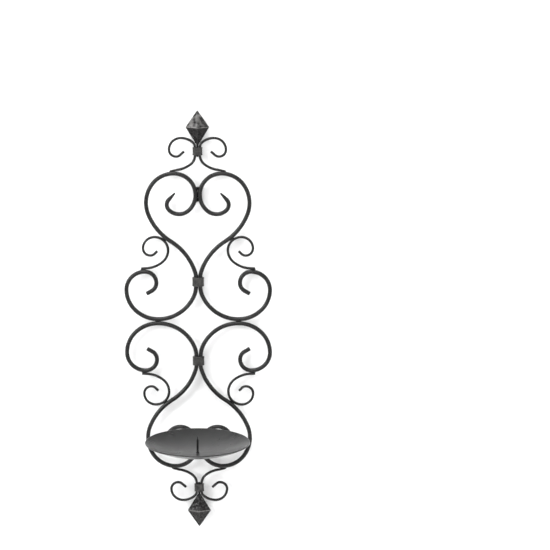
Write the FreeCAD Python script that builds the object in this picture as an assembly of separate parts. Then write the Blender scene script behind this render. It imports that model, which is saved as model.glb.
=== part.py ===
"""Wrought-iron wall sconce: a flat scrollwork frame that carries a shallow candle bowl with a pricket.

Frame of the part: +Z up, +X to the right of someone facing the sconce, -Y towards that person.
The wall is the plane y = 0.  The origin is on the wall, at the centre of the keyhole's round hole.
All sizes are in millimetres.
"""
import FreeCAD
import Part
import math
import os

V = FreeCAD.Vector

# ---- stock -------------------------------------------------------------------------------------
bar_d = 4.0              # round bar of the four large scrolls
wire_d = 2.5             # round wire of the eight small scrolls
stem_d = 2.0             # round stem of a finial, held between two wires
plate_t = 1.2            # sheet of the candle bowl
arm_t = 2.5              # flat bar of the support arm
strap_t = 1.5            # flat strip of the hanger
collar_t = 1.7           # strip wrapped round two bars
small_collar_t = 1.25    # strip wrapped round two wires and a stem

# ---- overall sizes -----------------------------------------------------------------------------
frame_height = 400.0     # tip of the upper finial to tip of the lower one
plate_r = 48.5           # outer radius of the bowl's rim
plate_reach = 55.0       # centre of the scrollwork's thickness to the centre of the bowl
wall_gap = 0.0           # back of a finial to the wall it rests on

# ---- heights -----------------------------------------------------------------------------------
collar_z = 38.0          # middle of a large collar above the middle of a frame 400 mm tall
rim_above_touch = 17.6   # bowl's rim above the place where the lower hearts touch

# ---- collars, finials --------------------------------------------------------------------------
collar_h = 8.5
small_collar_h = 7.4
collar_waist = 0.25      # how far a collar's middle is drawn in from its two edges
collar_lip = 0.2         # share of its height that each edge takes to draw in
finial_w = 22.0
finial_depth = 11.0
finial_top_h = 15.6      # widest point of a finial up to its tip
finial_bottom_h = 17.6   # widest point of a finial down to its neck
finial_tip_r = 0.35      # the hammered tip is not quite sharp
finial_gap = 0.15        # slanted edge of a finial to the wires that flare out beside it
stem_tail = 1.5          # stem beyond the far edge of the collar

# ---- bowl, pricket, arm ------------------------------------------------------------------------
plate_depth = 10.5       # rim down to the underside of the bowl
plate_flat_r = 5.0       # flat seat in the middle of the bowl
pricket_r = 1.0
pricket_h = 15.8         # floor of the bowl to the point
pricket_point = 4.0      # length of the taper
pricket_tip_r = 0.15
shoulder_r = 1.7
shoulder_h = 0.6
tenon_r = 0.8            # pricket's lower end, through bowl and arm
tenon_gap = 0.05         # radial clearance round the tenon
rivet_r = 2.2            # hammered-over head under the arm
rivet_h = 0.9
rivet_crown_r = 1.3      # flat struck on top of that head
arm_w = 10.0
arm_leg = 16.0           # length of the leg that lies against the bars
arm_overhang = 7.0       # arm beyond the pricket
arm_bend_r = 2.0         # inner radius of the bend
arm_corner_r = 3.0       # rounded corners of its free end

# ---- hanger ------------------------------------------------------------------------------------
key_r = 2.3              # round hole that lets a screw head in
slot_r = 1.3             # half width of the slot for the shank
slot_rise = 4.5          # round hole's centre up to the slot's end centre
hanger_edge = 2.7        # strip between the keyhole and either leg

# ---- scrolls: bend radii as drawn for a frame 400 mm tall, and the angle of each bend ----------
unit = frame_height / 400.0
neck_bend = (15.0, -17)
flank_out = (54.0, -40)
flank_in = (55.0, 35)
shoulder_bend = (30.0, 57)
crown_bend = (25.0, 55)
heart_curl = [(20.0, 48), (13.2, 86), (7.2, 89)]
heart_tip_run = 8.5             # straight end of the heart, drawn out to a blunt point
heart_tip_r = 0.8               # radius of that point
lobe_neck = (24.0, 23)
lobe_sides = [(30.3, 45), (27.2, 45), (17.4, 90)]
lobe_curl = [(10.7, 90), (8.8, 60)]
lobe_end_run = 5.6              # straight cut end of the lobe
side_contact_turn = 7.0         # degrees into flank_in where a side scroll touches
side_first_r = 12.6             # side scroll, from its outermost point to that contact
side_curl = [(12.6, -40), (10.8, -90), (6.8, -90), (5.6, -45)]
side_end_run = 3.6
finial_curl = [(6.2, -50), (17.0, -40), (11.0, -90), (6.5, -90), (5.4, -42)]
finial_end_run = 5.2
tail_lap = 3.5                  # cut end of a small scroll, lying on the bar past the crown

# ---- welds -------------------------------------------------------------------------------------
bead_l = 5.0             # length of a bead along the joint
bead_w = 2.6             # width across it
bead_set_back = 1.35     # beads lie wholly behind the bars' middle, on the wall's side
least_bead = 0.05        # volume of weld metal, below which a shaving is left out

# ---- worked out from the sizes above -----------------------------------------------------------
bar_r = bar_d / 2
wire_r = wire_d / 2
half_height = frame_height / 2
frame_y = -(wall_gap + finial_depth / 2)          # centre plane of the scrollwork
bars_front_y = frame_y - bar_r
bars_back_y = frame_y + bar_r
finial_z = half_height - finial_top_h             # widest point of the upper finial
wire_x = (stem_d + wire_d) / 2                    # wires lie on either side of the stem
plate_y = frame_y - plate_reach


def neck_height():
    """Small collar's edge to the finial's neck, where the finial just clears the flaring wires."""
    bend_r = finial_curl[0][0] * unit
    across = finial_w / 2 - finial_tip_r
    slant = math.hypot(across, finial_bottom_h)
    centre_x = wire_x + bend_r - finial_tip_r
    return ((bend_r + wire_r + finial_gap) * slant - centre_x * finial_bottom_h) / across


small_collar_z = finial_z - finial_bottom_h - neck_height() - small_collar_h / 2

shapes = {}


class Path:
    """A wire in the frame's centre plane: straight runs and bends, each tangent to the one before.

    A heading of 0 degrees points to +X and 90 to +Z.  A positive bend turns anticlockwise for
    someone facing the sconce.
    """

    def __init__(self, x, z, heading):
        self.x = x
        self.z = z
        self.heading = heading
        self.edges = []

    def point(self):
        return V(self.x, frame_y, self.z)

    def run(self, length):
        start = self.point()
        self.x += length * math.cos(math.radians(self.heading))
        self.z += length * math.sin(math.radians(self.heading))
        self.edges.append(Part.LineSegment(start, self.point()).toShape())
        return self

    def turn(self, radius, angle):
        side = math.copysign(1.0, angle)
        centre_x = self.x - side * radius * math.sin(math.radians(self.heading))
        centre_z = self.z + side * radius * math.cos(math.radians(self.heading))
        start = self.point()
        places = []
        for share in (0.5, 1.0):
            bearing = math.radians(self.heading + share * angle)
            x = centre_x + side * radius * math.sin(bearing)
            z = centre_z - side * radius * math.cos(bearing)
            places.append(V(x, frame_y, z))
        self.x = places[1].x
        self.z = places[1].z
        self.heading += angle
        self.edges.append(Part.Arc(start, places[0], places[1]).toShape())
        return self

    def turns(self, bends):
        for radius, angle in bends:
            self.turn(radius * unit, angle)
        return self

    def quarter_to(self, x, z, side):
        """Two bends that make a quarter turn and end at x, z."""
        # distances ahead of the path and across it
        ahead = abs((x - self.x) * math.cos(math.radians(self.heading))
                    + (z - self.z) * math.sin(math.radians(self.heading)))
        across = abs((x - self.x) * math.sin(math.radians(self.heading))
                     - (z - self.z) * math.cos(math.radians(self.heading)))
        first = 90.0 * across / (across + ahead)
        sine = math.sin(math.radians(first))
        cosine = math.cos(math.radians(first))
        # with radii r1 and r2:  across = r1 (1 - cosine) + r2 cosine
        #                        ahead  = r1 sine + r2 (1 - sine)
        spread = (1 - cosine) * (1 - sine) - cosine * sine
        r1 = (across * (1 - sine) - ahead * cosine) / spread
        r2 = (ahead * (1 - cosine) - across * sine) / spread
        self.turn(r1, side * first)
        self.turn(r2, side * (90.0 - first))
        return self

    def wire(self):
        return Part.Wire(self.edges)


def circle_across(start, heading, radius):
    along = V(math.cos(math.radians(heading)), 0, math.sin(math.radians(heading)))
    return Part.Wire(Part.makeCircle(radius, start, along))


def round_bar(path, start, heading, radius):
    """Bar of constant radius along a path."""
    return path.wire().makePipeShell([circle_across(start, heading, radius)], True, True)


def tapered_bar(path, start, heading, radius, end_radius):
    """Bar that thins from one radius to another along a path."""
    first = circle_across(start, heading, radius)
    last = circle_across(path.point(), path.heading, end_radius)
    return path.wire().makePipeShell([first, last], True, True)


def four_ways(name, shape):
    """A piece of the upper right quarter, and its mirror images in the other three."""
    left = shape.mirror(V(0, 0, 0), V(1, 0, 0))
    shapes[name + "_upper_right"] = shape
    shapes[name + "_upper_left"] = left
    shapes[name + "_lower_right"] = shape.mirror(V(0, 0, 0), V(0, 0, 1))
    shapes[name + "_lower_left"] = left.mirror(V(0, 0, 0), V(0, 0, 1))


def both_ends(name, shape):
    """A piece of the upper half, and its mirror image in the lower half."""
    shapes[name + "_upper"] = shape
    shapes[name + "_lower"] = shape.mirror(V(0, 0, 0), V(0, 0, 1))


# ---- large scroll of the upper right quarter ---------------------------------------------------
def heart_path():
    """From the collar's upper edge round the half heart, to where its end starts to taper."""
    path = Path(bar_r, collar_z * unit + collar_h / 2, 90)
    path.turns([neck_bend, flank_out])
    marks = {"flank": (path.x, path.z, path.heading)}
    path.turns([flank_in, shoulder_bend, crown_bend])
    marks["crown"] = (path.x, path.z)
    inner_r = path.x - bar_r                      # brings the bar back to touch its mirror image
    path.turn(inner_r, 90)
    marks["touch"] = (path.x, path.z)
    path.turns(heart_curl)
    return path, marks


def lobe_path():
    """From the collar's lower edge round the lobe, to its cut end."""
    path = Path(bar_r, collar_z * unit - collar_h / 2, 270)
    path.turns([lobe_neck])
    # the run into the lobe's bottom has the radius that makes it touch the lobe below
    left = 1 - math.sin(math.radians(lobe_neck[1]))
    path.turn((path.z - bar_r) / left, 90 - lobe_neck[1])
    marks = {"bottom": (path.x, path.z)}
    path.turns(lobe_sides)
    marks["crown"] = (path.x, path.z)
    path.turns(lobe_curl).run(lobe_end_run * unit)
    return path, marks


def scroll_bar():
    heart, heart_marks = heart_path()
    lobe, lobe_marks = lobe_path()
    straight = Path(bar_r, collar_z * unit - collar_h / 2, 90).run(collar_h)
    start = V(bar_r, frame_y, collar_z * unit - collar_h / 2)
    joined = Path(0, 0, 0)
    joined.edges = straight.edges + heart.edges
    upper = round_bar(joined, start, 90, bar_r)
    lower = round_bar(lobe, start, 270, bar_r)
    tip = Path(heart.x, heart.z, heart.heading).run(heart_tip_run * unit)
    point = tapered_bar(tip, heart.point(), heart.heading, bar_r, heart_tip_r)
    return upper.fuse([lower, point]), heart_marks, lobe_marks


# ---- small scrolls of the upper right quarter --------------------------------------------------
def lap_over(tail, radius):
    """The tail's end follows the bar it is welded to."""
    tail.turn(radius, -math.degrees(tail_lap / radius))


def side_scroll(heart_marks, lobe_marks):
    """Touches the heart's flank with its back, and ends on top of the lobe."""
    x, z, heading = heart_marks["flank"]
    flank = Path(x, z, heading).turn(flank_in[0] * unit, side_contact_turn)
    apart = bar_r + wire_r
    out = math.radians(flank.heading)
    touch_x = flank.x + apart * math.sin(out)
    touch_z = flank.z - apart * math.cos(out)
    # back from the contact to the scroll's outermost point, where it heads straight up
    bend = math.radians(90 - flank.heading)
    side_x = touch_x - side_first_r * unit * (1 - math.cos(bend))
    side_z = touch_z - side_first_r * unit * math.sin(bend)
    curl = Path(side_x, side_z, 90).turn(side_first_r * unit, flank.heading - 90)
    side_curl_first = (side_curl[0][0], -flank.heading)
    curl.turns([side_curl_first] + side_curl[1:])
    curl.run(side_end_run * unit)
    tail = Path(side_x, side_z, 270)
    tail.quarter_to(lobe_marks["crown"][0], lobe_marks["crown"][1] + apart, 1)
    lap_over(tail, lobe_sides[-1][0] * unit + apart)
    start = V(side_x, frame_y, side_z)
    shape = round_bar(curl, start, 90, wire_r).fuse(round_bar(tail, start, 270, wire_r))
    middle_x = (flank.x * wire_r + touch_x * bar_r) / apart
    middle_z = (flank.z * wire_r + touch_z * bar_r) / apart
    return shape, (middle_x, middle_z, flank.heading)


def finial_scroll(heart_marks):
    """Runs through the small collar beside the stem, and ends on top of the heart."""
    low_z = small_collar_z - small_collar_h / 2
    curl = Path(wire_x, low_z, 90).run(small_collar_h)
    curl.turns(finial_curl)
    curl.run(finial_end_run * unit)
    apart = bar_r + wire_r
    tail = Path(wire_x, low_z, 270)
    tail.quarter_to(heart_marks["crown"][0], heart_marks["crown"][1] + apart, 1)
    lap_over(tail, crown_bend[0] * unit + apart)
    start = V(wire_x, frame_y, low_z)
    return round_bar(curl, start, 90, wire_r).fuse(round_bar(tail, start, 270, wire_r))


# ---- collars and finials -----------------------------------------------------------------------
def rounded_outline(width, depth, z):
    """Level outline with full-round ends, centred on the frame's axis."""
    end_r = depth / 2
    flat = width / 2 - end_r
    y0 = frame_y - end_r
    y1 = frame_y + end_r
    edges = [
        Part.LineSegment(V(-flat, y0, z), V(flat, y0, z)).toShape(),
        Part.Arc(V(flat, y0, z), V(flat + end_r, frame_y, z), V(flat, y1, z)).toShape(),
        Part.LineSegment(V(flat, y1, z), V(-flat, y1, z)).toShape(),
        Part.Arc(V(-flat, y1, z), V(-flat - end_r, frame_y, z), V(-flat, y0, z)).toShape(),
    ]
    return Part.Wire(edges)


def collar(pocket_w, pocket_depth, thickness, height, z):
    """Strip wrapped round a bundle, its middle drawn in a little between its two edges."""
    rings = []
    drawn_in = 0.5 - collar_lip
    for share, inset in ((-0.5, 0), (-drawn_in, collar_waist), (drawn_in, collar_waist), (0.5, 0)):
        wall = 2 * (thickness - inset)
        rings.append(rounded_outline(pocket_w + wall, pocket_depth + wall, z + share * height))
    outer = Part.makeLoft(rings, True, True)
    pocket = Part.Face(rounded_outline(pocket_w, pocket_depth, z - height / 2))
    return outer.cut(pocket.extrude(V(0, 0, height)))


def pyramid(z, rise):
    """Four-sided half of a finial, from its widest section to a small blunt end."""
    corners = [(finial_w / 2, 0), (0, finial_depth / 2), (-finial_w / 2, 0), (0, -finial_depth / 2)]
    blunt = finial_tip_r / (finial_w / 2)
    rings = []
    for share, height in ((1.0, z), (blunt, z + rise)):
        points = [V(x * share, frame_y + y * share, height) for x, y in corners]
        rings.append(Part.makePolygon(points + points[:1]))
    return Part.makeLoft(rings, True, True)


def finial():
    end_z = small_collar_z - small_collar_h / 2 - stem_tail
    stem = Part.makeCylinder(stem_d / 2, finial_z - finial_bottom_h / 2 - end_z, V(0, frame_y, end_z))
    return pyramid(finial_z, finial_top_h).fuse([pyramid(finial_z, -finial_bottom_h), stem])


# ---- bowl, pricket and arm ---------------------------------------------------------------------
touch_z = heart_path()[1]["touch"][1]             # height where the upper hearts touch
plate_under_z = rim_above_touch - touch_z - plate_depth
plate_floor_z = plate_under_z + plate_t


def candle_plate():
    """Bowl pressed from sheet: a flat seat, then a wall that rises along one arc to the rim."""
    bend_r = ((plate_r - plate_flat_r) ** 2 + plate_depth ** 2) / (2 * plate_depth)
    rim = math.asin((plate_r - plate_flat_r) / bend_r)

    def on_arc(radius, angle):
        x = plate_flat_r + radius * math.sin(angle)
        return V(x, 0, bend_r - radius * math.cos(angle))

    inner_r = bend_r - plate_t
    lip = on_arc(bend_r - plate_t / 2, rim)
    lip_out = V(math.cos(rim), 0, math.sin(rim)) * (plate_t / 2)
    edges = [
        Part.LineSegment(V(0, 0, 0), V(plate_flat_r, 0, 0)).toShape(),
        Part.Arc(on_arc(bend_r, 0), on_arc(bend_r, rim / 2), on_arc(bend_r, rim)).toShape(),
        Part.Arc(on_arc(bend_r, rim), lip + lip_out, on_arc(inner_r, rim)).toShape(),
        Part.Arc(on_arc(inner_r, rim), on_arc(inner_r, rim / 2), on_arc(inner_r, 0)).toShape(),
        Part.LineSegment(V(plate_flat_r, 0, plate_t), V(0, 0, plate_t)).toShape(),
        Part.LineSegment(V(0, 0, plate_t), V(0, 0, 0)).toShape(),
    ]
    bowl = Part.Face(Part.Wire(edges)).revolve(V(0, 0, 0), V(0, 0, 1), 360)
    hole = Part.makeCylinder(tenon_r + tenon_gap, plate_t, V(0, 0, 0))
    bowl = bowl.cut(hole)
    bowl.translate(V(0, plate_y, plate_under_z))
    return bowl


def pricket():
    """Spike with a shoulder on the bowl's floor, a tenon through bowl and arm, and a rivet head."""
    arm_under_z = plate_under_z - arm_t
    z = plate_floor_z
    head = Part.makeCone(rivet_crown_r, rivet_r, rivet_h, V(0, plate_y, arm_under_z - rivet_h))
    tenon = Part.makeCylinder(tenon_r, z - arm_under_z, V(0, plate_y, arm_under_z))
    shoulder = Part.makeCylinder(shoulder_r, shoulder_h, V(0, plate_y, z))
    shank = Part.makeCylinder(pricket_r, pricket_h - pricket_point, V(0, plate_y, z))
    point_z = z + pricket_h - pricket_point
    point = Part.makeCone(pricket_r, pricket_tip_r, pricket_point, V(0, plate_y, point_z))
    return head.fuse([tenon, shoulder, shank, point])


def support_arm():
    """Flat bar bent to an L: one leg on the front of the heart bars, the other under the bowl."""
    top = plate_under_z
    under = top - arm_t
    back = bars_front_y
    front = back - arm_t
    end = plate_y - arm_overhang
    inner_y = front - arm_bend_r
    inner_z = under - arm_bend_r
    outer_r = arm_bend_r + arm_t
    diagonal = math.sqrt(0.5)
    edges = [
        Part.LineSegment(V(0, end, top), V(0, inner_y, top)).toShape(),
        Part.Arc(V(0, inner_y, top),
                 V(0, inner_y + outer_r * diagonal, inner_z + outer_r * diagonal),
                 V(0, back, inner_z)).toShape(),
        Part.LineSegment(V(0, back, inner_z), V(0, back, top - arm_leg)).toShape(),
        Part.LineSegment(V(0, back, top - arm_leg), V(0, front, top - arm_leg)).toShape(),
        Part.LineSegment(V(0, front, top - arm_leg), V(0, front, inner_z)).toShape(),
        Part.Arc(V(0, front, inner_z),
                 V(0, inner_y + arm_bend_r * diagonal, inner_z + arm_bend_r * diagonal),
                 V(0, inner_y, under)).toShape(),
        Part.LineSegment(V(0, inner_y, under), V(0, end, under)).toShape(),
        Part.LineSegment(V(0, end, under), V(0, end, top)).toShape(),
    ]
    arm = Part.Face(Part.Wire(edges)).extrude(V(arm_w, 0, 0))
    arm.translate(V(-arm_w / 2, 0, 0))
    ends = [edge for edge in arm.Edges
            if abs(edge.CenterOfMass.y - end) < 0.01 and abs(edge.CenterOfMass.x) > arm_w / 2 - 0.01]
    arm = arm.makeFillet(arm_corner_r, ends)
    hole = Part.makeCylinder(tenon_r + tenon_gap, arm_t, V(0, plate_y, under))
    return arm.cut(hole)


# ---- hanger ------------------------------------------------------------------------------------
def hanger_strap(key_z):
    """Strip bent like a staple: both feet on the bars' backs, its face on the wall, with a keyhole."""
    depth = -bars_back_y
    low = key_z - key_r - hanger_edge
    high = key_z + slot_rise + slot_r + hanger_edge
    width = 2 * bar_d
    block = Part.makeBox(width, depth, high - low, V(-width / 2, bars_back_y, low))
    pocket = Part.makeBox(width, depth - strap_t, high - low - 2 * strap_t,
                          V(-width / 2, bars_back_y, low + strap_t))
    strap = block.cut(pocket)
    toward_wall = V(0, 1, 0)
    face_y = -strap_t
    round_hole = Part.makeCylinder(key_r, strap_t, V(0, face_y, key_z), toward_wall)
    slot_end = Part.makeCylinder(slot_r, strap_t, V(0, face_y, key_z + slot_rise), toward_wall)
    slot = Part.makeBox(2 * slot_r, strap_t, slot_rise, V(-slot_r, face_y, key_z))
    return strap.cut(round_hole.fuse([slot_end, slot]))


# ---- welds -------------------------------------------------------------------------------------
def bead(x, y, z, heading, length, width):
    """A drop of weld metal, longest along the joint."""
    ball = Part.makeSphere(1.0)
    stretch = FreeCAD.Matrix()
    stretch.scale(V(length / 2, width / 2, width / 2))
    drop = ball.transformGeometry(stretch)
    drop.rotate(V(0, 0, 0), V(0, 1, 0), -heading)
    drop.translate(V(x, y, z))
    return drop


def lap_middle(crown, radius):
    """Where the middle of a lapped tail touches its bar, and the bar's heading there."""
    bend = tail_lap / 2 / (radius + bar_r + wire_r)
    reach = radius + bar_r
    x = crown[0] + reach * math.sin(bend)
    z = crown[1] - radius + reach * math.cos(bend)
    return x, z, -math.degrees(bend)


def weld_beads(side_touch, heart_marks, lobe_marks):
    y = frame_y + bead_set_back
    places = [
        side_touch,
        lap_middle(lobe_marks["crown"], lobe_sides[-1][0] * unit),
        lap_middle(heart_marks["crown"], crown_bend[0] * unit),
    ]
    quarter = [bead(x, y, z, heading, bead_l, bead_w) for x, z, heading in places]
    half = [shape.mirror(V(0, 0, 0), V(1, 0, 0)) for shape in quarter] + quarter
    half.append(bead(0, y, touch_z, 90, bead_l, bead_w))
    beads = half + [shape.mirror(V(0, 0, 0), V(0, 0, 1)) for shape in half]
    # two more lie in the corners between the arm's leg and the bars behind it
    arm_bead_x = bar_d + 0.15 * bead_w
    arm_bead_y = bars_front_y + 0.25 * bead_w
    arm_bead_z = plate_under_z - 0.6 * arm_leg
    for side in (-1, 1):
        beads.append(bead(side * lobe_marks["bottom"][0], y, 0, 0, bead_l, bead_w))
        beads.append(bead(side * arm_bead_x, arm_bead_y, arm_bead_z, 90, bead_l, bead_w))
    metal = [shape for name, shape in shapes.items() if not name.startswith("candle")]
    solids = []
    for drop in beads:
        box = drop.BoundBox
        near = [shape for shape in metal if shape.BoundBox.intersect(box)]
        rest = drop.cut(near)
        solids += [solid for solid in rest.Solids if solid.Volume > least_bead]
    return Part.makeCompound(solids)


# ---- the whole sconce --------------------------------------------------------------------------
bar, heart_marks, lobe_marks = scroll_bar()
four_ways("scroll_bar", bar)
side, side_touch = side_scroll(heart_marks, lobe_marks)
four_ways("side_scroll", side)
four_ways("finial_scroll", finial_scroll(heart_marks))
both_ends("bar_collar", collar(2 * bar_d, bar_d, collar_t, collar_h, collar_z * unit))
both_ends("finial_collar",
          collar(2 * wire_d + stem_d, wire_d, small_collar_t, small_collar_h, small_collar_z))
both_ends("finial", finial())
shapes["candle_plate"] = candle_plate()
shapes["pricket"] = pricket()
shapes["support_arm"] = support_arm()
key_z = touch_z - (slot_rise + slot_r - key_r) / 2
shapes["hanger_strap"] = hanger_strap(key_z)
shapes["weld_beads"] = weld_beads(side_touch, heart_marks, lobe_marks)

os.makedirs("parts", exist_ok=True)
for name, shape in shapes.items():
    shape.translate(V(0, 0, -key_z))
    shape.exportStep("parts/" + name + ".step")
    print(name, "solids", len(shape.Solids), "valid", shape.isValid(), "volume", round(shape.Volume, 1))
print("keyhole above the middle of the frame:", round(key_z, 2))
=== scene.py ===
import math

import bpy
import numpy as np
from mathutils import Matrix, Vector, noise


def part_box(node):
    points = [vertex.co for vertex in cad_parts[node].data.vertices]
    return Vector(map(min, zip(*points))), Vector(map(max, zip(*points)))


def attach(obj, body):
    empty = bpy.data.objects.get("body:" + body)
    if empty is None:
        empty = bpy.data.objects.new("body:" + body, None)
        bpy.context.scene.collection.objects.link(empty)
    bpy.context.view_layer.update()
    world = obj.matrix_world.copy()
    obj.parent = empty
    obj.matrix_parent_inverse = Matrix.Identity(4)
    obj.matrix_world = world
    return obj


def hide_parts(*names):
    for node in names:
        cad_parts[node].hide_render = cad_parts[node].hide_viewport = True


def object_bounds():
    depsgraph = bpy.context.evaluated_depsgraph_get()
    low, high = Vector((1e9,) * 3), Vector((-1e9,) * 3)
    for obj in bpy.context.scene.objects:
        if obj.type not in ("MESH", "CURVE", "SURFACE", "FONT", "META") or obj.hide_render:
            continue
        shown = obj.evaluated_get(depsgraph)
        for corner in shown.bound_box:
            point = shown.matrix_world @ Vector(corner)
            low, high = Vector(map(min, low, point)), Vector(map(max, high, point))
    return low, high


# Looks of the wrought-iron wall sconce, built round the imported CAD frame.
# Shapes are worked out in millimetres from the middle of the scrollwork, as the CAD source does it,
# and moved to the row frame in metres when a mesh is made.

MM = 0.001

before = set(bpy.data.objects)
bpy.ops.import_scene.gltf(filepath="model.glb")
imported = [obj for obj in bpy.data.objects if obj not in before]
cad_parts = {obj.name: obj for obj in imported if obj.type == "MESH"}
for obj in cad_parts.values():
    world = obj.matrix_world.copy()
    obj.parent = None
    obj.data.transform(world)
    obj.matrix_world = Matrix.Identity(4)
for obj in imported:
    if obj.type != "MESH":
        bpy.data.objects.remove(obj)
cad_lo, cad_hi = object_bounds()
bar_lo, bar_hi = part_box("scroll_bar_upper_right")
middle = Vector((0.0, (bar_lo.y + bar_hi.y) / 2, (cad_lo.z + cad_hi.z) / 2))

# ---- camera: in front of the sconce, looking down on it a little ---------------------------------
view_distance = 3.0
view_down = math.radians(12.6)
aim_right = 0.0718          # the view's middle lies to the right of the sconce and above its middle
aim_up = 0.0433
lens_mm = 209.6
sensor_mm = 36.0

forward = Vector((0, math.cos(view_down), -math.sin(view_down)))
upward = Vector((0, math.sin(view_down), math.cos(view_down)))
camera = bpy.data.objects.new("camera", bpy.data.cameras.new("camera"))
camera.data.lens = lens_mm
camera.data.sensor_width = sensor_mm
camera.data.clip_end = 100.0
camera.location = middle - forward * view_distance + Vector((aim_right, 0, 0)) + upward * aim_up
camera.rotation_euler = forward.to_track_quat("-Z", "Y").to_euler()
bpy.context.scene.collection.objects.link(camera)
bpy.context.scene.camera = camera
bpy.context.scene.view_settings.view_transform = "Standard"


# ---- node helpers ---------------------------------------------------------------------------------
def new_material(name):
    material = bpy.data.materials.new(name)
    material.use_nodes = True
    return material, material.node_tree.nodes, material.node_tree.links, \
        material.node_tree.nodes["Principled BSDF"]


def object_place(nodes):
    return nodes.new("ShaderNodeTexCoord").outputs["Object"]


def noise_field(nodes, links, place, per_metre, detail, roughness=0.55, distortion=0.0):
    node = nodes.new("ShaderNodeTexNoise")
    node.inputs["Scale"].default_value = per_metre
    node.inputs["Detail"].default_value = detail
    node.inputs["Roughness"].default_value = roughness
    node.inputs["Distortion"].default_value = distortion
    links.new(place, node.inputs["Vector"])
    return node.outputs["Fac"]


def cells(nodes, links, place, per_metre):
    node = nodes.new("ShaderNodeTexVoronoi")
    node.feature = "SMOOTH_F1"
    node.inputs["Scale"].default_value = per_metre
    node.inputs["Smoothness"].default_value = 0.6
    links.new(place, node.inputs["Vector"])
    return node.outputs["Distance"]


def ramp(nodes, links, value, stops):
    """stops: (position, colour) or (position, grey) pairs."""
    node = nodes.new("ShaderNodeValToRGB")
    elements = node.color_ramp.elements
    while len(elements) < len(stops):
        elements.new(0.5)
    for element, (position, colour) in zip(elements, stops):
        element.position = position
        grey = isinstance(colour, float)
        element.color = (colour, colour, colour, 1) if grey else (*colour, 1)
    links.new(value, node.inputs["Fac"])
    return node.outputs["Color"]


def bump(nodes, links, height, strength, depth, under=None):
    node = nodes.new("ShaderNodeBump")
    node.inputs["Strength"].default_value = strength
    node.inputs["Distance"].default_value = depth
    links.new(height, node.inputs["Height"])
    if under is not None:
        links.new(under, node.inputs["Normal"])
    return node.outputs["Normal"]


def mix_colour(nodes, links, share, first, second, how="MIX"):
    node = nodes.new("ShaderNodeMix")
    node.data_type = "RGBA"
    node.blend_type = how
    for socket, value in ((node.inputs["Factor"], share), (node.inputs["A"], first),
                          (node.inputs["B"], second)):
        if isinstance(value, bpy.types.NodeSocket):
            links.new(value, socket)
        elif isinstance(value, float):
            socket.default_value = value
        else:
            socket.default_value = (*value, 1)
    return node.outputs["Result"]


# ---- materials ------------------------------------------------------------------------------------
rubbed_and_lit_tone = (0.16, 0.155, 0.15)       # paint rubbed thin along edges, and painted light on the top point's upper faces
iron_grain_depth = 0.00002


def painted_iron(name, dark, light, sheen_low, sheen_high, blow_per_metre, blow_depth, shine=0.24):
    """Black satin paint over hammered iron: mottled tone, uneven gloss, hammer marks and fine grain."""
    material, nodes, links, shader = new_material(name)
    place = object_place(nodes)
    mottle = noise_field(nodes, links, place, 260, 6, 0.62, 0.4)
    cloud = noise_field(nodes, links, place, 60, 3)
    tone = ramp(nodes, links, mottle, ((0.38, dark), (0.66, light)))
    shade = ramp(nodes, links, cloud, ((0.30, 0.72), (0.72, 1.0)))
    paint = mix_colour(nodes, links, 1.0, tone, shade, "MULTIPLY")
    # the mesh's shares: rubbed paint on edges, and painted light on the upper faces of the top finial's point
    rubbed_and_lit = nodes.new("ShaderNodeAttribute")
    rubbed_and_lit.attribute_name = "rubbed_and_lit"
    patchy = nodes.new("ShaderNodeMath")
    patchy.operation = "MULTIPLY"
    links.new(rubbed_and_lit.outputs["Fac"], patchy.inputs[0])
    links.new(ramp(nodes, links, mottle, ((0.36, 0.40), (0.56, 1.0))), patchy.inputs[1])
    links.new(mix_colour(nodes, links, patchy.outputs["Value"], paint, rubbed_and_lit_tone),
              shader.inputs["Base Color"])
    shader.inputs["Specular IOR Level"].default_value = shine
    gloss = noise_field(nodes, links, place, 420, 4)
    links.new(ramp(nodes, links, gloss, ((0.35, sheen_low), (0.68, sheen_high))),
              shader.inputs["Roughness"])
    blows = cells(nodes, links, place, blow_per_metre)
    grain = noise_field(nodes, links, place, 2600, 3)
    hammered = bump(nodes, links, blows, 0.8, blow_depth)
    links.new(bump(nodes, links, grain, 0.6, iron_grain_depth, hammered), shader.inputs["Normal"])
    return material


iron = {
    "bar_iron": painted_iron("bar_paint", (0.003, 0.003, 0.0033), (0.012, 0.0115, 0.011),
                             0.26, 0.42, 260, 0.00004, 0.34),
    "wire_iron": painted_iron("wire_paint", (0.003, 0.003, 0.0033), (0.012, 0.0115, 0.011),
                              0.26, 0.42, 340, 0.00003, 0.34),
    # painted sheen: the collars' black paint is made lighter than the bars', standing in for the sheen on
    # their flat fronts
    "collar_iron": painted_iron("collar_paint", (0.018, 0.018, 0.018), (0.068, 0.066, 0.063),
                                0.28, 0.46, 420, 0.00012),
    "finial_iron": painted_iron("finial_paint", (0.0015, 0.0012, 0.0012), (0.008, 0.007, 0.007),
                                0.20, 0.40, 300, 0.00014, 0.26),
    "pricket_iron": painted_iron("pricket_paint", (0.004, 0.004, 0.0045), (0.010, 0.010, 0.010),
                                 0.36, 0.50, 500, 0.00003),
    "strap_iron": painted_iron("strap_paint", (0.007, 0.007, 0.007), (0.020, 0.019, 0.018),
                               0.32, 0.52, 260, 0.00008),
    "weld_metal": painted_iron("weld_paint", (0.006, 0.006, 0.006), (0.020, 0.019, 0.018),
                               0.28, 0.44, 800, 0.00006),
}


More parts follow.
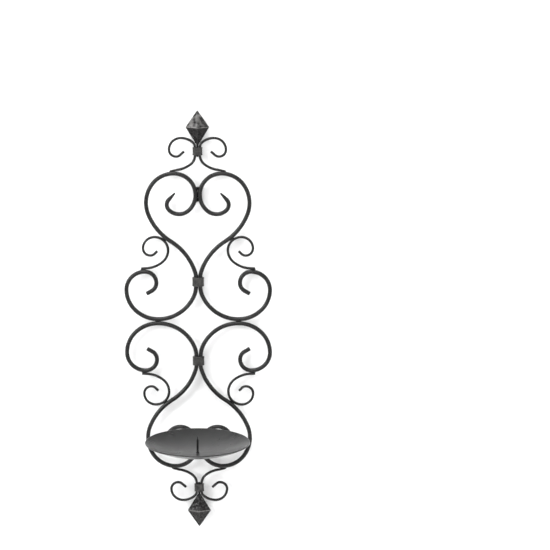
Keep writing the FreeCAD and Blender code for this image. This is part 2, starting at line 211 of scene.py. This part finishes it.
def bowl_paint(centre):
    """The same paint on smooth pressed sheet: faint turning rings, powder grain, a few dull patches."""
    material, nodes, links, shader = new_material("bowl_paint")
    place = object_place(nodes)
    cloud = noise_field(nodes, links, place, 45, 4, 0.6, 0.6)
    links.new(ramp(nodes, links, cloud, ((0.34, (0.003, 0.003, 0.0032)), (0.68, (0.006, 0.006, 0.006)))),
              shader.inputs["Base Color"])
    shader.inputs["Specular IOR Level"].default_value = 0.5
    dull = noise_field(nodes, links, place, 110, 4)
    links.new(ramp(nodes, links, dull, ((0.32, 0.27), (0.70, 0.34))), shader.inputs["Roughness"])
    from_centre = nodes.new("ShaderNodeVectorMath")
    from_centre.operation = "SUBTRACT"
    links.new(place, from_centre.inputs[0])
    from_centre.inputs[1].default_value = centre
    flat = nodes.new("ShaderNodeVectorMath")
    flat.operation = "MULTIPLY"
    links.new(from_centre.outputs["Vector"], flat.inputs[0])
    flat.inputs[1].default_value = (1, 1, 0)
    radius = nodes.new("ShaderNodeVectorMath")
    radius.operation = "LENGTH"
    links.new(flat.outputs["Vector"], radius.inputs[0])
    ring = nodes.new("ShaderNodeTexNoise")
    ring.noise_dimensions = "1D"
    ring.inputs["Scale"].default_value = 900
    ring.inputs["Detail"].default_value = 2
    links.new(radius.outputs["Value"], ring.inputs["W"])
    rings = bump(nodes, links, ring.outputs["Fac"], 0.25, 0.00002)
    grain = noise_field(nodes, links, place, 3000, 3)
    links.new(bump(nodes, links, grain, 0.35, 0.000015, rings), shader.inputs["Normal"])
    return material


plate_lo, plate_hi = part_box("candle_plate")
plate_middle = (plate_lo + plate_hi) / 2
iron["bowl_sheet"] = bowl_paint(plate_middle)


# ---- mesh helpers ---------------------------------------------------------------------------------
def finish_piece(name, points, faces, slot, nodes, mirror=(1, 1), rubbed_and_lit=None):
    """points: millimetres from the scrollwork's middle.  mirror: signs for x and z.

    Shares of rubbed paint and painted light, for each point, 0 to 1: how far an edge there has lost its
    black, and how much light is painted on the faces of a finial's point.
    """
    signs = np.array([mirror[0], 1, mirror[1]], float)
    placed = np.asarray(points, float) * signs * MM + np.array(middle)
    if mirror[0] * mirror[1] < 0:
        faces = [face[::-1] for face in faces]
    mesh = bpy.data.meshes.new(name)
    mesh.from_pydata(placed.tolist(), [], faces)
    mesh.validate()
    mesh.shade_smooth()
    if rubbed_and_lit is not None:
        shares = mesh.attributes.new("rubbed_and_lit", "FLOAT", "POINT")
        shares.data.foreach_set("value", rubbed_and_lit)
    piece = bpy.data.objects.new(name, mesh)
    bpy.context.scene.collection.objects.link(piece)
    dress(piece, slot, nodes)
    return piece


def dress(piece, slot, nodes):
    piece.data.materials.clear()
    piece.data.materials.append(iron[slot])
    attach(piece, "root")
    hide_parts(*nodes)


class Line:
    """Centre line of a bent bar: x, z and heading at every step, in millimetres and degrees."""

    def __init__(self, x, z, heading, step):
        self.steps = [(x, z, heading)]
        self.step = step

    def run(self, length):
        x, z, heading = self.steps[-1]
        count = max(1, math.ceil(length / self.step))
        along = math.radians(heading)
        for k in range(1, count + 1):
            part = length * k / count
            self.steps.append((x + part * math.cos(along), z + part * math.sin(along), heading))
        return self

    def turn(self, radius, angle):
        x, z, heading = self.steps[-1]
        side = math.copysign(1.0, angle)
        start = math.radians(heading)
        centre = (x - side * radius * math.sin(start), z + side * radius * math.cos(start))
        count = max(1, math.ceil(radius * abs(math.radians(angle)) / self.step))
        for k in range(1, count + 1):
            now = heading + angle * k / count
            bearing = math.radians(now)
            self.steps.append((centre[0] + side * radius * math.sin(bearing),
                               centre[1] - side * radius * math.cos(bearing), now))
        return self

    def turns(self, bends):
        for radius, angle in bends:
            self.turn(radius, angle)
        return self

    def quarter_to(self, x, z, side):
        """Two bends that make a quarter turn and end at x, z."""
        x0, z0, heading = self.steps[-1]
        cos_h, sin_h = math.cos(math.radians(heading)), math.sin(math.radians(heading))
        ahead = abs((x - x0) * cos_h + (z - z0) * sin_h)
        across = abs((x - x0) * sin_h - (z - z0) * cos_h)
        first = 90.0 * across / (across + ahead)
        sine, cosine = math.sin(math.radians(first)), math.cos(math.radians(first))
        r1, r2 = np.linalg.solve([[1 - cosine, cosine], [sine, 1 - sine]], [across, ahead])
        return self.turn(r1, side * first).turn(r2, side * (90.0 - first))

    def back_to_front(self):
        return [(x, z, heading + 180) for x, z, heading in reversed(self.steps)]


def hammer(along, around, radius, seed, size, depth, spacing):
    """Depth of shallow overlapping hammer marks at places on a bar's skin.

    along: distance down the bar, around: angle about it, both arrays of the same shape.
    """
    pick = np.random.RandomState(seed)
    length = along.max()
    count = int(length * 2 * math.pi * radius / spacing ** 2)
    marks = np.zeros_like(along)
    step = along[1, 0] - along[0, 0]
    for _ in range(count):
        s, a = pick.uniform(0, length), pick.uniform(0, 2 * math.pi)
        reach, deep = size * pick.uniform(0.7, 1.2), depth * pick.uniform(0.4, 1.0)
        low = max(0, int((s - reach) / step) - 2)
        high = int((s + reach) / step) + 3
        turned = (around[low:high] - a + math.pi) % (2 * math.pi) - math.pi
        apart = (along[low:high] - s) ** 2 + (radius * turned) ** 2
        mark = deep * np.clip(1 - apart / reach ** 2, 0, None)
        marks[low:high] = np.maximum(marks[low:high], mark)
    return marks


end_chamfer = 0.22                    # share of its radius that a bar's end is eased by
scarf_thin, scarf_ease = 0.62, 1.4    # share of the radius lost at a scarf's tip, and how it comes on


def bar_mesh(steps, radii, sides, seed, size, depth, spacing, scarf=0.0):
    """Round bar along steps, both ends closed by a small chamfer, its skin hammered inwards.

    scarf: length at the start that is drawn out thin, its left-hand side left where it was.
    """
    steps = np.array(steps)
    radii = np.array(radii, float)
    x, z, heading = steps[:, 0], steps[:, 1], np.radians(steps[:, 2])
    hop = np.hypot(np.diff(x), np.diff(z))
    along = np.concatenate([[0], np.cumsum(hop)])
    even = np.linspace(0, along[-1], len(along))
    x, z = np.interp(even, along, x), np.interp(even, along, z)
    heading = np.interp(even, along, heading)
    radii = np.interp(even, along, radii)
    if scarf:
        thin = radii * scarf_thin * np.clip(1 - even / scarf, 0, 1) ** scarf_ease
        radii = radii - thin
        x, z = x - thin * np.sin(heading), z + thin * np.cos(heading)
    angles = np.linspace(0, 2 * math.pi, sides, endpoint=False)
    s_grid, a_grid = np.meshgrid(even, angles, indexing="ij")
    marks = hammer(s_grid, a_grid, radii.max(), seed, size, depth, spacing)
    skin = radii[:, None] - marks * (radii / radii.max())[:, None]
    rings = []

    def ring(k, radius, offset):
        cx = x[k] + offset * math.cos(heading[k])
        cz = z[k] + offset * math.sin(heading[k])
        across = radius * np.cos(angles)
        return np.stack([cx - across * math.sin(heading[k]), radius * np.sin(angles),
                         cz + across * math.cos(heading[k])], axis=1)

    last = len(x) - 1
    rings.append(ring(0, skin[0] * (1 - end_chamfer), 0))
    rings.append(ring(0, skin[0] * (1 - end_chamfer / 4), end_chamfer * radii[0] / 2))
    for k in range(2, last - 1):
        rings.append(ring(k, skin[k], 0))
    rings.append(ring(last, skin[last] * (1 - end_chamfer / 4), -end_chamfer * radii[last] / 2))
    rings.append(ring(last, skin[last] * (1 - end_chamfer), 0))
    points = np.concatenate(rings)
    faces = []
    for k in range(len(rings) - 1):
        for j in range(sides):
            n = (j + 1) % sides
            faces.append((k * sides + j, k * sides + n, (k + 1) * sides + n, (k + 1) * sides + j))
    for k, flip in ((0, True), (len(rings) - 1, False)):
        hub = len(points)
        points = np.vstack([points, points[k * sides:(k + 1) * sides].mean(axis=0)])
        for j in range(sides):
            n = (j + 1) % sides
            tri = (k * sides + j, k * sides + n, hub)
            faces.append(tri[::-1] if flip else tri)
    return points, faces


def turned(profile, count, closed, wobble=None):
    """Solid of revolution about z.

    profile: (radius, height) pairs; one that isn't closed starts and ends on the axis.
    """
    angles = np.linspace(0, 2 * math.pi, count, endpoint=False)
    rows = profile if closed else profile[1:-1]
    points = []
    for radius, height in rows:
        for angle in angles:
            r, h = (radius, height) if wobble is None else wobble(radius, height, angle)
            points.append((r * math.cos(angle), r * math.sin(angle), h))
    faces = []
    total = len(rows)
    for k in range(total if closed else total - 1):
        m = (k + 1) % total
        for j in range(count):
            n = (j + 1) % count
            faces.append((k * count + j, k * count + n, m * count + n, m * count + j))
    if not closed:
        for row, pole, flip in ((0, profile[0], True), (total - 1, profile[-1], False)):
            points.append((0, 0, pole[1]))
            hub = len(points) - 1
            for j in range(count):
                n = (j + 1) % count
                tri = (row * count + j, row * count + n, hub)
                faces.append(tri[::-1] if flip else tri)
    return points, faces


# ---- scrollwork: the CAD source's bends -----------------------------------------------------------
bar_r, wire_r, stem_r = 2.0, 1.25, 1.0
collar_z, collar_h = 38.0, 8.5
neck_bend = (15.0, -17)
flank_out = (54.0, -40)
flank_in = (55.0, 35)
shoulder_bend = (30.0, 57)
crown_bend = (25.0, 55)
heart_curl = [(20.0, 48), (13.2, 86), (7.2, 89)]
heart_tip_run = 8.5
heart_tip_r = 0.8
lobe_neck = (24.0, 23)
lobe_sides = [(30.3, 45), (27.2, 45), (17.4, 90)]
lobe_curl = [(10.7, 90), (8.8, 60)]
lobe_end_run = 5.6
side_contact_turn = 7.0
side_first_r = 12.6
side_curl = [(10.8, -90), (6.8, -90), (5.6, -45)]
side_end_run = 3.6
finial_curl = [(6.2, -50), (17.0, -40), (11.0, -90), (6.5, -90), (5.4, -42)]
finial_end_run = 5.2
tail_lap = 3.5
finial_scarf = 7.0          # length of a finial scroll's tail that is drawn out thin

bar_step, wire_step = 0.55, 0.45                 # rings along a bar and along a wire
bar_sides, wire_sides = 22, 16
bar_marks, wire_marks = (3.0, 0.05, 2.8), (2.2, 0.03, 2.2)      # hammer marks: size, depth, spacing

four = {"upper_right": (1, 1), "upper_left": (-1, 1), "lower_right": (1, -1), "lower_left": (-1, -1)}


def scroll_bar_line(step):
    """Cut end of the lobe, through the collar, round the half heart to its drawn-out point."""
    lobe = Line(bar_r, collar_z - collar_h / 2, 270, step).turns([lobe_neck])
    left = 1 - math.sin(math.radians(lobe_neck[1]))
    lobe.turn((lobe.steps[-1][1] - bar_r) / left, 90 - lobe_neck[1])
    lobe.turns(lobe_sides)
    lobe_crown = lobe.steps[-1]
    lobe.turns(lobe_curl).run(lobe_end_run)
    heart = Line(bar_r, collar_z - collar_h / 2, 90, step).run(collar_h)
    heart.turns([neck_bend, flank_out])
    flank = heart.steps[-1]
    heart.turns([flank_in, shoulder_bend, crown_bend])
    heart_crown = heart.steps[-1]
    heart.turn(heart_crown[0] - bar_r, 90).turns(heart_curl)
    body = lobe.back_to_front()[:-1]
    # back_to_front's headings run on from the lobe's; bring them level with the heart's
    level = heart.steps[0][2] - (lobe.steps[0][2] + 180)
    body = [(x, z, heading + level) for x, z, heading in body]
    taper_from = len(body) + len(heart.steps)
    heart.run(heart_tip_run)
    steps = body + heart.steps
    taper = len(steps) - taper_from
    radii = [bar_r] * taper_from
    radii += [bar_r + (heart_tip_r - bar_r) * (k + 1) / taper for k in range(taper)]
    return steps, radii, flank, lobe_crown, heart_crown


bar_steps, bar_radii, flank, lobe_crown, heart_crown = scroll_bar_line(bar_step)
for k, (quarter, mirror) in enumerate(four.items()):
    points, faces = bar_mesh(bar_steps, bar_radii, bar_sides, 11 + k, *bar_marks)
    finish_piece("large_scroll_" + quarter, points, faces, "bar_iron", ["scroll_bar_" + quarter], mirror)


def lap_over(tail, radius):
    """The tail's end follows the bar that it is welded to."""
    return tail.turn(radius, -math.degrees(tail_lap / radius))


def side_scroll_line(step):
    """Cut tail on the lobe, up past the heart's flank, round the curl to its cut end."""
    contact = Line(flank[0], flank[1], flank[2], step).turn(flank_in[0], side_contact_turn).steps[-1]
    apart = bar_r + wire_r
    out = math.radians(contact[2])
    touch_x = contact[0] + apart * math.sin(out)
    touch_z = contact[1] - apart * math.cos(out)
    bend = math.radians(90 - contact[2])
    side_x = touch_x - side_first_r * (1 - math.cos(bend))
    side_z = touch_z - side_first_r * math.sin(bend)
    curl = Line(side_x, side_z, 90, step).turn(side_first_r, contact[2] - 90)
    curl.turns([(side_first_r, -contact[2])] + side_curl).run(side_end_run)
    tail = Line(side_x, side_z, 270, step).quarter_to(lobe_crown[0], lobe_crown[1] + apart, 1)
    lap_over(tail, lobe_sides[-1][0] + apart)
    body = [(x, z, heading - 360) for x, z, heading in tail.back_to_front()[:-1]]
    return body + curl.steps


def finial_scroll_line(step):
    """Cut tail on the heart, up through the small collar beside the stem, round to its cut end."""
    wire_x = stem_r + wire_r
    curl = Line(wire_x, small_collar_z - small_collar_h / 2, 90, step).run(small_collar_h)
    curl.turns(finial_curl).run(finial_end_run)
    tail = Line(wire_x, small_collar_z - small_collar_h / 2, 270, step)
    tail.quarter_to(heart_crown[0], heart_crown[1] + bar_r + wire_r, 1)
    lap_over(tail, crown_bend[0] + bar_r + wire_r)
    body = [(x, z, heading - 360) for x, z, heading in tail.back_to_front()[:-1]]
    return body + curl.steps


# small collar and finial: heights follow from the CAD boxes
small_lo, small_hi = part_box("finial_collar_upper")
small_collar_z = (small_lo.z + small_hi.z) / 2 / MM - middle.z / MM
small_collar_h = (small_hi.z - small_lo.z) / MM
tip_z = (cad_hi.z - middle.z) / MM

for k, (quarter, mirror) in enumerate(four.items()):
    steps = side_scroll_line(wire_step)
    points, faces = bar_mesh(steps, [wire_r] * len(steps), wire_sides, 31 + k, *wire_marks)
    finish_piece("side_curl_" + quarter, points, faces, "wire_iron", ["side_scroll_" + quarter], mirror)
    steps = finial_scroll_line(wire_step)
    points, faces = bar_mesh(steps, [wire_r] * len(steps), wire_sides, 51 + k, *wire_marks, finial_scarf)
    finish_piece("top_curl_" + quarter, points, faces, "wire_iron", ["finial_scroll_" + quarter], mirror)


# ---- collars --------------------------------------------------------------------------------------
large_strip_t, small_strip_t = 1.7, 1.25
collar_waist, collar_lip = 0.25, 0.2         # how far, and over what share of its height, it draws in
seam_depth, seam_reach = 0.75, 0.9           # butt joint at the back: share of the strip, steps wide


def collar_mesh(pocket_w, pocket_depth, thickness, height, z, seed):
    """Strip wrapped round a bundle: drawn in between its edges, hammered, ends butted behind."""
    flat = (pocket_w - pocket_depth) / 2
    count_flat, count_round = 44, 30
    # outline from the middle of the back, all the way round: place, outward direction
    outline = []
    half = count_flat // 2
    for k in range(half):
        outline.append((-flat * k / half, 0, 0, 1))
    for k in range(count_round):
        a = math.pi / 2 + math.pi * k / count_round
        outline.append((-flat, 0, math.cos(a), math.sin(a)))
    for k in range(count_flat):
        outline.append((-flat + 2 * flat * k / count_flat, 0, 0, -1))
    for k in range(count_round):
        a = -math.pi / 2 + math.pi * k / count_round
        outline.append((flat, 0, math.cos(a), math.sin(a)))
    for k in range(half):
        outline.append((flat - flat * k / half, 0, 0, 1))
    # profile across the strip's height: share of height from the middle, share of thickness
    edge = 0.5
    profile = [(-edge, 0.02), (-edge, 0.45), (-edge + 0.012, 0.78), (-edge + 0.045, 0.94)]
    rows = 15
    profile += [(-edge + 0.08 + (1 - 0.16) * k / (rows - 1), 1.0) for k in range(rows)]
    profile += [(edge - 0.045, 0.94), (edge - 0.012, 0.78), (edge, 0.45), (edge, 0.02)]
    points = []
    for k, (px, py, dx, dy) in enumerate(outline):
        around = k / len(outline)
        behind = min(around, 1 - around) * len(outline)
        for up, out in profile:
            drawn = min(1.0, (0.5 - abs(up)) / collar_lip)
            full = thickness - collar_waist * drawn * drawn * (3 - 2 * drawn)
            dent = 0.0
            if out > 0.9:
                spot = Vector((px + dx * 3, py + dy * 3, up * height + seed * 17.0))
                dent = 0.16 * max(0.0, noise.noise(spot * 0.9)) + 0.05 * max(0.0, noise.noise(spot * 2.4))
                dent *= 1 - (2 * abs(up)) ** 6
            seam = seam_depth * math.exp(-(behind / seam_reach) ** 2) if out > 0.3 else 0.0
            reach = pocket_depth / 2 + max(0.02, full * out - dent - seam * thickness * out)
            points.append((px + dx * reach, py + dy * reach, z + up * height))
    faces = []
    n, m = len(outline), len(profile)
    for k in range(n):
        for j in range(m):
            a, b = k * m + j, k * m + (j + 1) % m
            c, d = ((k + 1) % n) * m + (j + 1) % m, ((k + 1) % n) * m + j
            faces.append((a, b, c, d))
    return points, faces


for k, (half, sign) in enumerate((("upper", 1), ("lower", -1))):
    points, faces = collar_mesh(4 * bar_r, 2 * bar_r, large_strip_t, collar_h, collar_z, 3 + k)
    finish_piece("large_collar_" + half, points, faces, "collar_iron", ["bar_collar_" + half], (1, sign))
    points, faces = collar_mesh(4 * wire_r + 2 * stem_r, 2 * wire_r, small_strip_t, small_collar_h,
                                small_collar_z, 7 + k)
    finish_piece("small_collar_" + half, points, faces, "collar_iron", ["finial_collar_" + half],
                 (1, sign))


# ---- finials --------------------------------------------------------------------------------------
finial_w, finial_depth, finial_top_h, finial_bottom_h = 22.0, 11.0, 15.6, 17.6
blunt_r, stem_tail = 0.35, 1.5
finial_rows = 26
face_dent, face_ripple = 0.8, 0.3            # depth of the hammer's marks on a face
face_light_usual, face_light_swing, ridge_rub = 0.42, 1.4, 0.25      # painted light on the outer point's faces, and paint rubbed off along the ridges
finial_face_light = {"upper": 1.0, "lower": 0.12}            # share of that painted light, for the top finial and for the bottom one


def finial_mesh(seed, face_light_share):
    """Two four-sided points, base to base, each face worked over with a hammer, and a round stem."""
    wide_z = tip_z - finial_top_h
    corners = [Vector((finial_w / 2, 0, wide_z)), Vector((0, finial_depth / 2, wide_z)),
               Vector((-finial_w / 2, 0, wide_z)), Vector((0, -finial_depth / 2, wide_z))]
    points, faces, rubbed_and_lit, where = [], [], [], {}

    def add(p, rub_and_light):
        key = (round(p.x, 4), round(p.y, 4), round(p.z, 4))
        if key not in where:
            where[key] = len(points)
            points.append(p)
            rubbed_and_lit.append(rub_and_light)
        return where[key]

    blunt = blunt_r / (finial_w / 2)
    for rise in (finial_top_h, -finial_bottom_h):
        for c in range(4):
            a, b = corners[c], corners[(c + 1) % 4]
            # the faces would meet here, and stop short of it at a blunt square
            tip = Vector((0, 0, wide_z + rise / (1 - blunt)))
            normal = (b - a).cross(tip - a).normalized()
            if normal.dot((a + b) / 2 - Vector((0, 0, wide_z))) < 0:
                normal = -normal
            grid = []
            for i in range(finial_rows + 1):
                up = i / finial_rows * (1 - blunt)
                left, right = a.lerp(tip, up), b.lerp(tip, up)
                line = []
                for j in range(finial_rows + 1):
                    across = j / finial_rows
                    p = left.lerp(right, across)
                    inside = min(1.0, 7 * min(across * (1 - up), (1 - across) * (1 - up)))
                    inside *= min(1.0, 9 * up)
                    spot = Vector((p.x, p.y * 1.7, p.z)) * 0.42 + Vector((seed * 9.1, 0, 0))
                    dent = face_dent * max(0.0, noise.noise(spot) + 0.15)
                    dent += face_ripple * max(0.0, noise.noise(spot * 2.3))
                    rub_and_light = 0.0
                    # painted light: the outer point's faces are made lighter, as where light from above falls
                    # on them
                    if rise > 0:
                        rub_and_light = face_light_share * min(1.0, max(0.0, face_light_usual + face_light_swing * noise.noise(spot * 0.55)))
                    if i == 0:
                        rub_and_light = 1.0
                    elif j in (0, finial_rows):
                        rub_and_light += ridge_rub
                    line.append((p - normal * dent * inside, rub_and_light))
                grid.append(line)
            for i in range(finial_rows):
                for j in range(finial_rows):
                    quad = [add(*grid[i][j]), add(*grid[i][j + 1]), add(*grid[i + 1][j + 1]),
                            add(*grid[i + 1][j])]
                    face = quad if rise > 0 else quad[::-1]
                    clean = list(dict.fromkeys(face))
                    if len(clean) > 2:
                        faces.append(tuple(clean))
        top = [add(corners[c].lerp(tip, 1 - blunt), 1.0) for c in range(4)]
        faces.append(tuple(top if rise > 0 else top[::-1]))
    # stem, from inside the lower point to just past the collar
    low = small_collar_z - small_collar_h / 2 - stem_tail
    profile = [(0, low), (stem_r * 0.7, low), (stem_r * 0.93, low + 0.12), (stem_r, low + 0.35),
               (stem_r, wide_z - finial_bottom_h / 2), (0, wide_z - finial_bottom_h / 2)]
    stem_points, stem_faces = turned(profile, 20, False)
    start = len(points)
    points = [tuple(p) for p in points] + stem_points
    faces += [tuple(start + i for i in face) for face in stem_faces]
    return points, faces, rubbed_and_lit + [0.0] * len(stem_points)


for k, (half, sign) in enumerate((("upper", 1), ("lower", -1))):
    points, faces, rubbed_and_lit = finial_mesh(2 + k, finial_face_light[half])
    piece = finish_piece("pointed_" + half, points, faces, "finial_iron", ["finial_" + half], (1, sign),
                         rubbed_and_lit)
    piece.data.set_sharp_from_angle(angle=math.radians(32))


# ---- bowl and pricket -----------------------------------------------------------------------------
plate_r, plate_flat_r, plate_t = 48.5, 5.0, 1.2
plate_under = plate_lo.z / MM - middle.z / MM
plate_y = plate_middle.y / MM - middle.y / MM
plate_depth = 10.5
hole_r = 0.85
waver_in, waver_down = 0.22, 0.12            # most that the rim wanders inwards and down


def bowl_mesh():
    """Pressed bowl: flat seat, wall along one arc, full-round rim with a slight hand-made waver."""
    bend_r = ((plate_r - plate_flat_r) ** 2 + plate_depth ** 2) / (2 * plate_depth)
    rim = math.asin((plate_r - plate_flat_r) / bend_r)
    rows = 44

    def wall(radius):
        return [(plate_flat_r + radius * math.sin(rim * k / rows), bend_r - radius * math.cos(rim * k / rows))
                for k in range(rows + 1)]

    lip_r, lip_at = plate_t / 2, bend_r - plate_t / 2
    lip_x, lip_z = plate_flat_r + lip_at * math.sin(rim), bend_r - lip_at * math.cos(rim)
    lip = [(lip_x + lip_r * math.sin(rim + math.pi * k / 8), lip_z - lip_r * math.cos(rim + math.pi * k / 8))
           for k in range(1, 8)]
    profile = [(hole_r, 0.0), (plate_flat_r / 2, 0.0)] + wall(bend_r) + lip + wall(bend_r - plate_t)[::-1]
    profile += [(plate_flat_r / 2, plate_t), (hole_r, plate_t)]

    def waver(radius, height, angle):
        share = (radius / plate_r) ** 4
        pull = 0.5 + 0.5 * noise.noise(Vector((math.cos(angle) * 2.1, math.sin(angle) * 2.1, 4.0)))
        return radius - waver_in * share * pull, height - waver_down * share * pull

    return turned(profile, 192, True, waver)


points, faces = bowl_mesh()
points = [(x, y + plate_y, z + plate_under) for x, y, z in points]
finish_piece("candle_bowl", points, faces, "bowl_sheet", ["candle_plate"])

pricket_r, pricket_h, pricket_point = 1.0, 15.8, 4.0
shoulder_r, shoulder_h = 1.7, 0.6
tenon_r, rivet_r, rivet_h, arm_t = 0.8, 2.2, 0.9, 2.5


def pricket_mesh():
    """Rivet head, tenon, shoulder, shank and point in one turned spike."""
    floor = plate_t
    under = -arm_t
    shank = floor + shoulder_h + 0.2
    point = floor + pricket_h - pricket_point
    profile = [(0, under - rivet_h), (0.8, under - rivet_h + 0.01), (1.32, under - rivet_h + 0.08),
               (1.75, under - rivet_h * 0.72), (2.05, under - rivet_h * 0.42), (rivet_r, under - 0.12),
               (rivet_r - 0.05, under), (tenon_r, under), (tenon_r, floor),
               (shoulder_r - 0.08, floor), (shoulder_r, floor + 0.1),
               (shoulder_r - 0.04, floor + shoulder_h - 0.2), (shoulder_r - 0.22, floor + shoulder_h),
               (pricket_r + 0.1, floor + shoulder_h + 0.03), (pricket_r, shank)]
    rows = 10
    profile += [(pricket_r, shank + (point - shank) * k / rows) for k in range(1, rows + 1)]
    profile += [(pricket_r * (1 - 0.85 * k / rows), point + pricket_point * k / rows)
                for k in range(1, rows)]
    profile += [(pricket_r * 0.15, point + pricket_point - 0.03), (0, point + pricket_point)]

    def forged(radius, height, angle):
        if height < under:
            spot = Vector((radius * math.cos(angle), radius * math.sin(angle), height)) * 1.1
            return radius * (1 - 0.05 * max(0.0, noise.noise(spot))), height
        spot = Vector((math.cos(angle), math.sin(angle), height * 0.5))
        return radius * (1 - 0.06 * max(0.0, noise.noise(spot))), height

    return turned(profile, 28, False, forged)


points, faces = pricket_mesh()
points = [(x, y + plate_y, z + plate_under) for x, y, z in points]
finish_piece("spike", points, faces, "pricket_iron", ["pricket"])


# ---- arm, hanger and welds: the CAD solids, worked over -------------------------------------------
def worked(name, node, slot, voxel, ease, dent_per_mm, dent_depth, seed):
    """A finer copy of a CAD node with eased edges and a hammered or rippled skin, sunk inwards."""
    piece = bpy.data.objects.new(name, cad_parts[node].data.copy())
    bpy.context.scene.collection.objects.link(piece)
    remesh = piece.modifiers.new("fine", "REMESH")
    remesh.mode = "VOXEL"
    remesh.voxel_size = voxel * MM
    soften = piece.modifiers.new("eased", "SMOOTH")
    soften.factor = 0.5
    soften.iterations = ease
    fine = bpy.data.meshes.new_from_object(piece.evaluated_get(bpy.context.evaluated_depsgraph_get()))
    piece.modifiers.clear()
    piece.data = fine
    lo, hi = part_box(node)
    shift = Vector((seed * 3.7, 0, 0))
    sunk = []
    for vertex in fine.vertices:
        spot = vertex.co / MM * dent_per_mm + shift
        dent = dent_depth * MM * max(0.0, noise.noise(spot) + 0.2)
        sunk.append(vertex.co - vertex.normal * dent)
    for vertex, place in zip(fine.vertices, sunk):
        vertex.co = [min(max(value, low), high) for value, low, high in zip(place, lo, hi)]
    fine.shade_smooth()
    dress(piece, slot, [node])


worked("bowl_arm", "support_arm", "strap_iron", 0.4, 3, 0.35, 0.22, 1)
worked("keyhole_strap", "hanger_strap", "strap_iron", 0.25, 3, 0.45, 0.12, 2)
worked("joint_beads", "weld_beads", "weld_metal", 0.16, 2, 1.6, 0.22, 3)


# ---- stage: pale wall behind, pale floor below, soft light ------------------------------------------
def stage_sheet(name, corners, material):
    mesh = bpy.data.meshes.new(name)
    mesh.from_pydata(corners, [], [tuple(range(len(corners)))])
    sheet = bpy.data.objects.new(name, mesh)
    bpy.context.scene.collection.objects.link(sheet)
    mesh.materials.append(material)


def matt(name, grey):
    material, nodes, links, shader = new_material(name)
    shader.inputs["Base Color"].default_value = (grey, grey, grey, 1)
    shader.inputs["Roughness"].default_value = 0.9
    shader.inputs["Specular IOR Level"].default_value = 0.1
    return material, nodes, links, shader


def blend_shaders(nodes, links, share, first, second, output):
    mix = nodes.new("ShaderNodeMixShader")
    links.new(share, mix.inputs["Fac"])
    links.new(first, mix.inputs[1])
    links.new(second, mix.inputs[2])
    links.new(mix.outputs["Shader"], nodes[output].inputs["Surface"])


def wall_paint():
    """White paint on the room's side only.  From behind, and for shadows, the wall isn't there."""
    material, nodes, links, shader = matt("wall_paint", 0.90)
    see_past = nodes.new("ShaderNodeBsdfTransparent")
    gone = nodes.new("ShaderNodeMath")
    gone.operation = "MAXIMUM"
    links.new(nodes.new("ShaderNodeNewGeometry").outputs["Backfacing"], gone.inputs[0])
    links.new(nodes.new("ShaderNodeLightPath").outputs["Is Shadow Ray"], gone.inputs[1])
    blend_shaders(nodes, links, gone.outputs["Value"], shader.outputs["BSDF"], see_past.outputs["BSDF"],
                  "Material Output")
    return material


def floor_paint():
    """Pale paint that runs out into a white as bright as the backdrop, so no horizon shows."""
    material, nodes, links, shader = matt("floor_paint", 0.88)
    reach = nodes.new("ShaderNodeVectorMath")
    reach.operation = "LENGTH"
    links.new(object_place(nodes), reach.inputs[0])
    fade = nodes.new("ShaderNodeMapRange")
    fade.interpolation_type = "SMOOTHSTEP"
    fade.inputs["From Min"].default_value = fade_from
    fade.inputs["From Max"].default_value = fade_to
    links.new(reach.outputs["Value"], fade.inputs["Value"])
    glow = nodes.new("ShaderNodeEmission")
    glow.inputs["Color"].default_value = backdrop
    blend_shaders(nodes, links, fade.outputs["Result"], shader.outputs["BSDF"], glow.outputs["Emission"],
                  "Material Output")
    return material


def studio_world():
    """A dim even light all round, seen by the camera as the white backdrop."""
    world = bpy.data.worlds.new("studio")
    world.use_nodes = True
    nodes, links = world.node_tree.nodes, world.node_tree.links
    seen = nodes.new("ShaderNodeBackground")
    seen.inputs["Color"].default_value = backdrop
    lit = nodes["Background"]
    lit.inputs["Color"].default_value = (1, 1, 1, 1)
    lit.inputs["Strength"].default_value = fill_strength
    from_camera = nodes.new("ShaderNodeLightPath").outputs["Is Camera Ray"]
    blend_shaders(nodes, links, from_camera, lit.outputs["Background"], seen.outputs["Background"],
                  "World Output")
    bpy.context.scene.world = world


backdrop = (1.0, 1.0, 1.0, 1)
fill_strength = 0.30
wall_y, wall_half, wall_top = 0.0004, 1.6, 1.4
floor_z = cad_lo.z - 0.5
floor_half = 12.0
fade_from, fade_to = 0.9, 2.6
stage_sheet("wall", [(-wall_half, wall_y, floor_z), (wall_half, wall_y, floor_z),
                     (wall_half, wall_y, wall_top), (-wall_half, wall_y, wall_top)], wall_paint())
stage_sheet("floor", [(-floor_half, -floor_half, floor_z), (floor_half, -floor_half, floor_z),
                      (floor_half, floor_half, floor_z), (-floor_half, floor_half, floor_z)], floor_paint())


def soft_light(name, place, size, radiance):
    light = bpy.data.lights.new(name, "AREA")
    light.shape = "SQUARE"
    light.size = size
    light.energy = radiance * math.pi * size ** 2
    lamp = bpy.data.objects.new(name, light)
    lamp.location = middle + Vector(place)
    lamp.rotation_euler = (-Vector(place)).to_track_quat("-Z", "Y").to_euler()
    lamp.visible_camera = False
    bpy.context.scene.collection.objects.link(lamp)


soft_light("left", (-2.3, -1.7, 1.2), 1.4, 12.0)
soft_light("right", (2.3, -1.6, 0.9), 0.8, 11.0)
soft_light("above", (-0.4, -1.0, 2.3), 1.6, 6.5)
soft_light("front", (0.2, -3.6, 1.6), 2.4, 2.3)
soft_light("behind", (-1.2, 2.2, 1.3), 1.8, 2.0)

studio_world()
